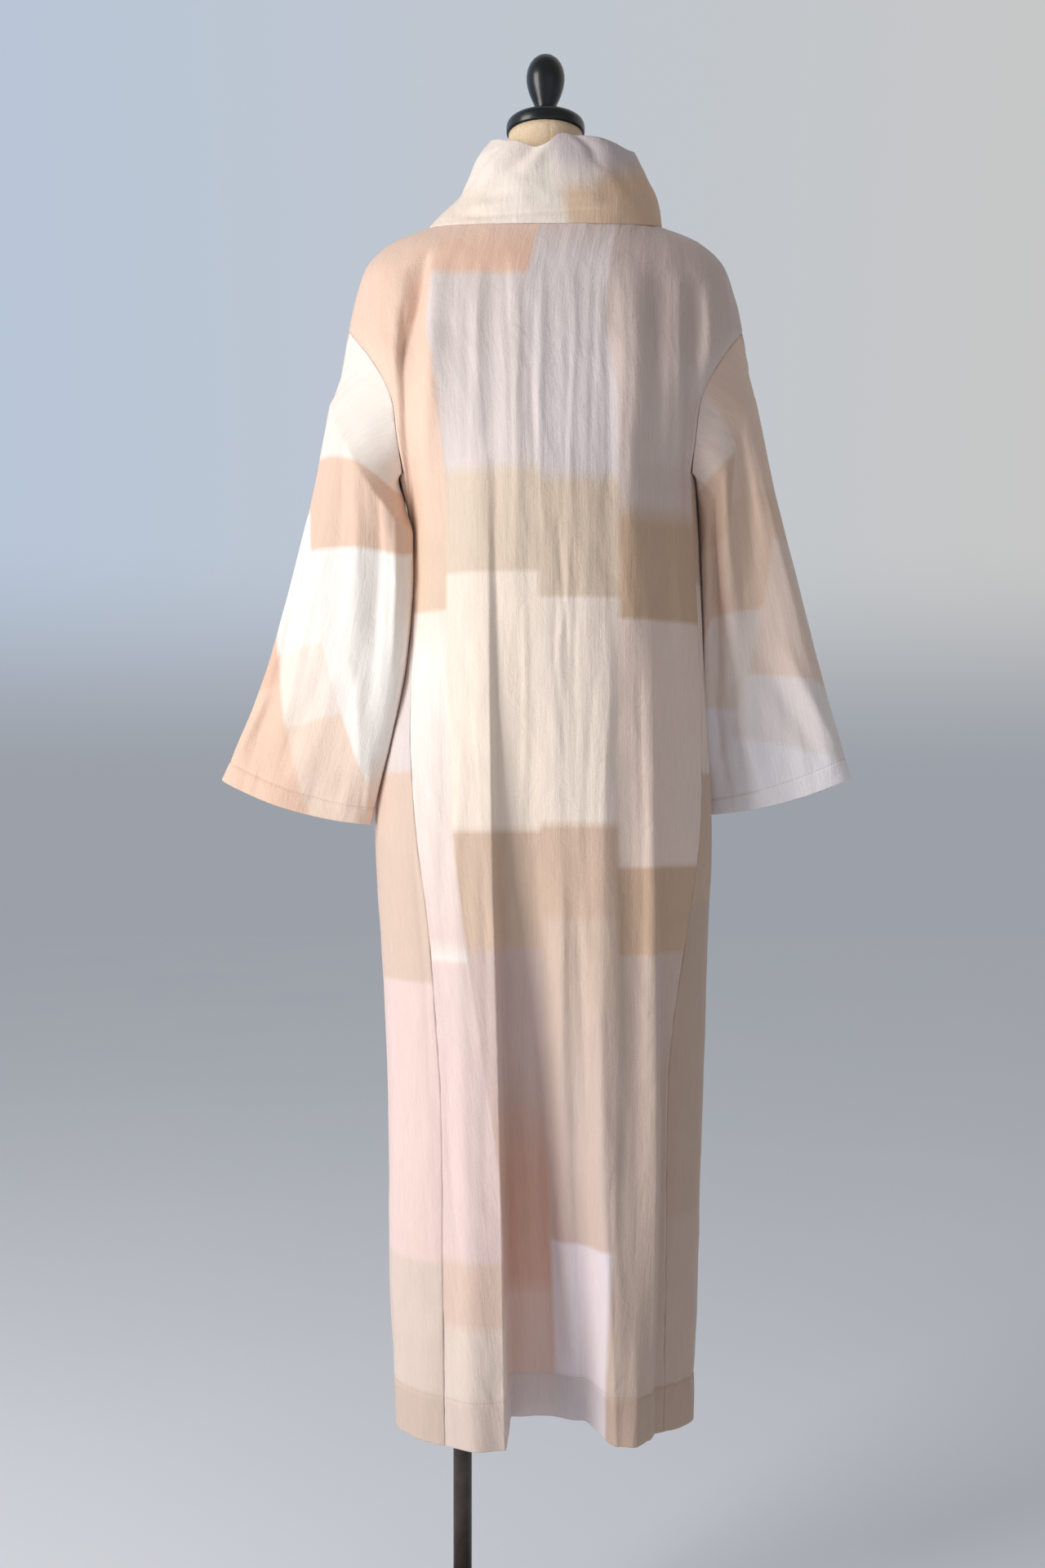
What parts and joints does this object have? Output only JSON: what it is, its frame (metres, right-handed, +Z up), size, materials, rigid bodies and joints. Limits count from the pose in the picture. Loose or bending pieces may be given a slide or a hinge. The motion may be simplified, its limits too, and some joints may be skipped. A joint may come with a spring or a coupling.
{
  "type": "high neck dress on a dress form",
  "caption": "Long loose high neck dress with wide sleeves and side panels, worn on a limbless dress form with a black cap and finial, on a pole with a round base.",
  "frame": {"origin": "the floor under the axis of the form's neck, on the underside of the round base", "axes": "+Z up along the neck, -Y out of the back of the dress, +Y out of its front, -X to the wearer's left"},
  "size_m": [0.682, 0.32, 1.76],
  "materials": {
    "dress_cloth": "fine cotton weave with a slight sheen, pastel colour blocks",
    "form_linen": "natural linen stretched over the form",
    "black_lacquer": "turned wood, gloss black lacquer",
    "dark_iron": "dark brown paint, satin"
  },
  "bodies": {
    "root": {"back_panel": "dress_cloth", "front_panel": "dress_cloth", "side_panel_left": "dress_cloth", "side_panel_right": "dress_cloth", "sleeve_left": "dress_cloth", "sleeve_right": "dress_cloth", "collar": "dress_cloth", "form_torso": "form_linen", "neck_cap": "black_lacquer", "finial": "black_lacquer", "stand_pole": "dark_iron", "stand_base": "dark_iron"}
  },
  "joints": []
}
